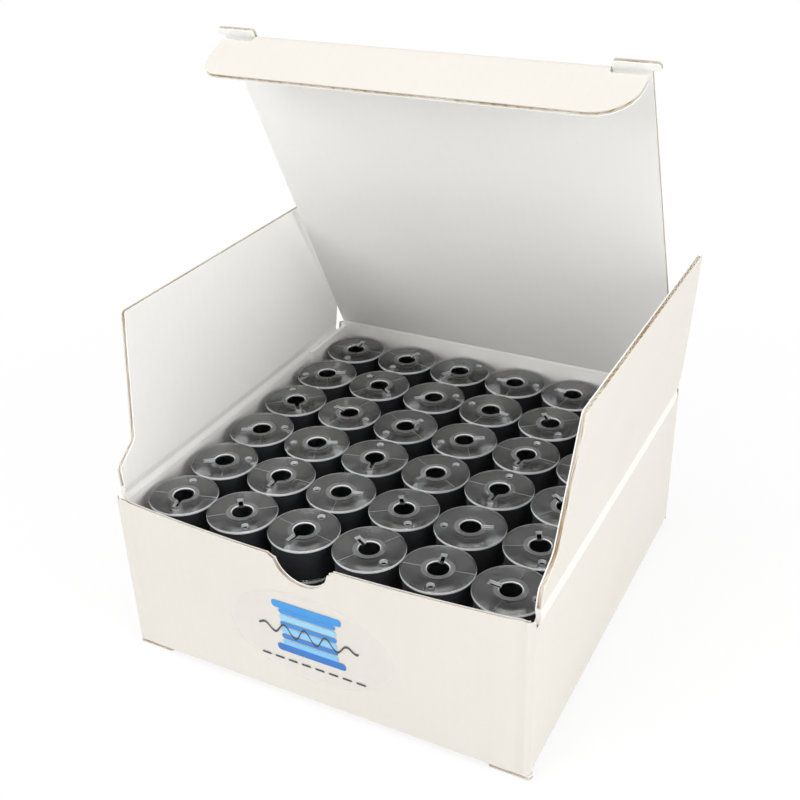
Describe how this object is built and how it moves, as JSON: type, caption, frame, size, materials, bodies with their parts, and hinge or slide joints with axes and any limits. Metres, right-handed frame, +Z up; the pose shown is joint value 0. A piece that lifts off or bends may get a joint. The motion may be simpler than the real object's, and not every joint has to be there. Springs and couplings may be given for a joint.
{
  "type": "bobbin box",
  "caption": "Open folding carton of thin white corrugated board with a tuck-in lid, dust flaps and a thumb notch, filled with layers of clear bobbins wound with black thread.",
  "frame": {"origin": "middle of the carton's underside", "axes": "+Z up, -Y towards the front wall with the thumb notch, +Y towards the lid's crease, +X to the right seen from the front"},
  "size_m": [0.1367, 0.1345, 0.1718],
  "materials": {
    "white_board": "white coated liners on thin corrugated board, raw brown edges",
    "label_film": "clear film with a plain blue print",
    "clear_plastic": "clear moulded plastic",
    "black_thread": "close-wound black thread",
    "wound_bobbin": "clear moulded plastic over black thread"
  },
  "bodies": {
    "carton": {"front_wall": "white_board", "back_wall": "white_board", "left_wall": "white_board", "right_wall": "white_board", "glue_flap": "white_board", "bottom_panel": "white_board", "bottom_tuck_flap": "white_board", "bottom_dust_flap_left": "white_board", "bottom_dust_flap_right": "white_board", "front_label": "label_film", "lower_spools": "clear_plastic", "lower_windings": "black_thread"},
    "lid": {"lid_panel": "white_board"},
    "lid_tuck": {"lid_tuck_flap": "white_board"},
    "left_dust_flap": {"dust_flap_left": "white_board"},
    "right_dust_flap": {"dust_flap_right": "white_board"},
    "bobbin_r1c1": {"spool_r1c1": "clear_plastic", "winding_r1c1": "black_thread"},
    "bobbin_r1c2": {"spool_r1c2": "clear_plastic", "winding_r1c2": "black_thread"},
    "bobbin_r1c3": {"spool_r1c3": "clear_plastic", "winding_r1c3": "black_thread"},
    "bobbin_r1c4": {"spool_r1c4": "clear_plastic", "winding_r1c4": "black_thread"},
    "bobbin_r1c5": {"spool_r1c5": "clear_plastic", "winding_r1c5": "black_thread"},
    "bobbin_r1c6": {"spool_r1c6": "clear_plastic", "winding_r1c6": "black_thread"},
    "bobbin_r2c1": {"bobbin_r2c1": "wound_bobbin"},
    "bobbin_r2c2": {"bobbin_r2c2": "wound_bobbin"},
    "bobbin_r2c3": {"bobbin_r2c3": "wound_bobbin"},
    "bobbin_r2c4": {"bobbin_r2c4": "wound_bobbin"},
    "bobbin_r2c5": {"bobbin_r2c5": "wound_bobbin"},
    "bobbin_r2c6": {"bobbin_r2c6": "wound_bobbin"},
    "bobbin_r3c1": {"bobbin_r3c1": "wound_bobbin"},
    "bobbin_r3c2": {"bobbin_r3c2": "wound_bobbin"},
    "bobbin_r3c3": {"bobbin_r3c3": "wound_bobbin"},
    "bobbin_r3c4": {"bobbin_r3c4": "wound_bobbin"},
    "bobbin_r3c5": {"bobbin_r3c5": "wound_bobbin"},
    "bobbin_r3c6": {"bobbin_r3c6": "wound_bobbin"},
    "bobbin_r4c1": {"bobbin_r4c1": "wound_bobbin"},
    "bobbin_r4c2": {"bobbin_r4c2": "wound_bobbin"},
    "bobbin_r4c3": {"bobbin_r4c3": "wound_bobbin"},
    "bobbin_r4c4": {"bobbin_r4c4": "wound_bobbin"},
    "bobbin_r4c5": {"bobbin_r4c5": "wound_bobbin"},
    "bobbin_r4c6": {"bobbin_r4c6": "wound_bobbin"},
    "bobbin_r5c1": {"bobbin_r5c1": "wound_bobbin"},
    "bobbin_r5c2": {"bobbin_r5c2": "wound_bobbin"},
    "bobbin_r5c3": {"bobbin_r5c3": "wound_bobbin"},
    "bobbin_r5c4": {"bobbin_r5c4": "wound_bobbin"},
    "bobbin_r5c5": {"bobbin_r5c5": "wound_bobbin"},
    "bobbin_r5c6": {"bobbin_r5c6": "wound_bobbin"},
    "bobbin_r6c1": {"bobbin_r6c1": "wound_bobbin"},
    "bobbin_r6c2": {"bobbin_r6c2": "wound_bobbin"},
    "bobbin_r6c3": {"bobbin_r6c3": "wound_bobbin"},
    "bobbin_r6c4": {"bobbin_r6c4": "wound_bobbin"},
    "bobbin_r6c5": {"bobbin_r6c5": "wound_bobbin"},
    "bobbin_r6c6": {"bobbin_r6c6": "wound_bobbin"}
  },
  "joints": [
    {"name": "lid_hinge", "type": "hinge", "parent": "carton", "child": "lid", "pos_m": [0, 0.06475, 0.05495], "axis": [-1, 0, 0], "range_deg": [-64, 116]},
    {"name": "lid_tuck_fold", "type": "hinge", "parent": "lid", "child": "lid_tuck", "pos_m": [0, 0.00903, 0.16919], "axis": [-1, 0, 0], "range_deg": [0, 90]},
    {"name": "dust_flap_left_fold", "type": "hinge", "parent": "carton", "child": "left_dust_flap", "pos_m": [-0.06385, 0, 0.05335], "axis": [0, -1, 0], "range_deg": [-3.3, 88]},
    {"name": "dust_flap_right_fold", "type": "hinge", "parent": "carton", "child": "right_dust_flap", "pos_m": [0.06385, 0, 0.05335], "axis": [0, 1, 0], "range_deg": [-5, 86.3]},
    {"name": "lift_r1c1", "type": "slide", "parent": "carton", "child": "bobbin_r1c1", "axis": [0, 0, 1], "range_m": [0, 0.03]},
    {"name": "lift_r1c2", "type": "slide", "parent": "carton", "child": "bobbin_r1c2", "axis": [0, 0, 1], "range_m": [0, 0.03]},
    {"name": "lift_r1c3", "type": "slide", "parent": "carton", "child": "bobbin_r1c3", "axis": [0, 0, 1], "range_m": [0, 0.03]},
    {"name": "lift_r1c4", "type": "slide", "parent": "carton", "child": "bobbin_r1c4", "axis": [0, 0, 1], "range_m": [0, 0.03]},
    {"name": "lift_r1c5", "type": "slide", "parent": "carton", "child": "bobbin_r1c5", "axis": [0, 0, 1], "range_m": [0, 0.03]},
    {"name": "lift_r1c6", "type": "slide", "parent": "carton", "child": "bobbin_r1c6", "axis": [0, 0, 1], "range_m": [0, 0.03]},
    {"name": "lift_r2c1", "type": "slide", "parent": "carton", "child": "bobbin_r2c1", "axis": [0, 0, 1], "range_m": [0, 0.03]},
    {"name": "lift_r2c2", "type": "slide", "parent": "carton", "child": "bobbin_r2c2", "axis": [0, 0, 1], "range_m": [0, 0.03]},
    {"name": "lift_r2c3", "type": "slide", "parent": "carton", "child": "bobbin_r2c3", "axis": [0, 0, 1], "range_m": [0, 0.03]},
    {"name": "lift_r2c4", "type": "slide", "parent": "carton", "child": "bobbin_r2c4", "axis": [0, 0, 1], "range_m": [0, 0.03]},
    {"name": "lift_r2c5", "type": "slide", "parent": "carton", "child": "bobbin_r2c5", "axis": [0, 0, 1], "range_m": [0, 0.03]},
    {"name": "lift_r2c6", "type": "slide", "parent": "carton", "child": "bobbin_r2c6", "axis": [0, 0, 1], "range_m": [0, 0.03]},
    {"name": "lift_r3c1", "type": "slide", "parent": "carton", "child": "bobbin_r3c1", "axis": [0, 0, 1], "range_m": [0, 0.03]},
    {"name": "lift_r3c2", "type": "slide", "parent": "carton", "child": "bobbin_r3c2", "axis": [0, 0, 1], "range_m": [0, 0.03]},
    {"name": "lift_r3c3", "type": "slide", "parent": "carton", "child": "bobbin_r3c3", "axis": [0, 0, 1], "range_m": [0, 0.03]},
    {"name": "lift_r3c4", "type": "slide", "parent": "carton", "child": "bobbin_r3c4", "axis": [0, 0, 1], "range_m": [0, 0.03]},
    {"name": "lift_r3c5", "type": "slide", "parent": "carton", "child": "bobbin_r3c5", "axis": [0, 0, 1], "range_m": [0, 0.03]},
    {"name": "lift_r3c6", "type": "slide", "parent": "carton", "child": "bobbin_r3c6", "axis": [0, 0, 1], "range_m": [0, 0.03]},
    {"name": "lift_r4c1", "type": "slide", "parent": "carton", "child": "bobbin_r4c1", "axis": [0, 0, 1], "range_m": [0, 0.03]},
    {"name": "lift_r4c2", "type": "slide", "parent": "carton", "child": "bobbin_r4c2", "axis": [0, 0, 1], "range_m": [0, 0.03]},
    {"name": "lift_r4c3", "type": "slide", "parent": "carton", "child": "bobbin_r4c3", "axis": [0, 0, 1], "range_m": [0, 0.03]},
    {"name": "lift_r4c4", "type": "slide", "parent": "carton", "child": "bobbin_r4c4", "axis": [0, 0, 1], "range_m": [0, 0.03]},
    {"name": "lift_r4c5", "type": "slide", "parent": "carton", "child": "bobbin_r4c5", "axis": [0, 0, 1], "range_m": [0, 0.03]},
    {"name": "lift_r4c6", "type": "slide", "parent": "carton", "child": "bobbin_r4c6", "axis": [0, 0, 1], "range_m": [0, 0.03]},
    {"name": "lift_r5c1", "type": "slide", "parent": "carton", "child": "bobbin_r5c1", "axis": [0, 0, 1], "range_m": [0, 0.03]},
    {"name": "lift_r5c2", "type": "slide", "parent": "carton", "child": "bobbin_r5c2", "axis": [0, 0, 1], "range_m": [0, 0.03]},
    {"name": "lift_r5c3", "type": "slide", "parent": "carton", "child": "bobbin_r5c3", "axis": [0, 0, 1], "range_m": [0, 0.03]},
    {"name": "lift_r5c4", "type": "slide", "parent": "carton", "child": "bobbin_r5c4", "axis": [0, 0, 1], "range_m": [0, 0.03]},
    {"name": "lift_r5c5", "type": "slide", "parent": "carton", "child": "bobbin_r5c5", "axis": [0, 0, 1], "range_m": [0, 0.03]},
    {"name": "lift_r5c6", "type": "slide", "parent": "carton", "child": "bobbin_r5c6", "axis": [0, 0, 1], "range_m": [0, 0.03]},
    {"name": "lift_r6c1", "type": "slide", "parent": "carton", "child": "bobbin_r6c1", "axis": [0, 0, 1], "range_m": [0, 0.0035]},
    {"name": "lift_r6c2", "type": "slide", "parent": "carton", "child": "bobbin_r6c2", "axis": [0, 0, 1], "range_m": [0, 0.0035]},
    {"name": "lift_r6c3", "type": "slide", "parent": "carton", "child": "bobbin_r6c3", "axis": [0, 0, 1], "range_m": [0, 0.0035]},
    {"name": "lift_r6c4", "type": "slide", "parent": "carton", "child": "bobbin_r6c4", "axis": [0, 0, 1], "range_m": [0, 0.0035]},
    {"name": "lift_r6c5", "type": "slide", "parent": "carton", "child": "bobbin_r6c5", "axis": [0, 0, 1], "range_m": [0, 0.0035]},
    {"name": "lift_r6c6", "type": "slide", "parent": "carton", "child": "bobbin_r6c6", "axis": [0, 0, 1], "range_m": [0, 0.0035]}
  ]
}
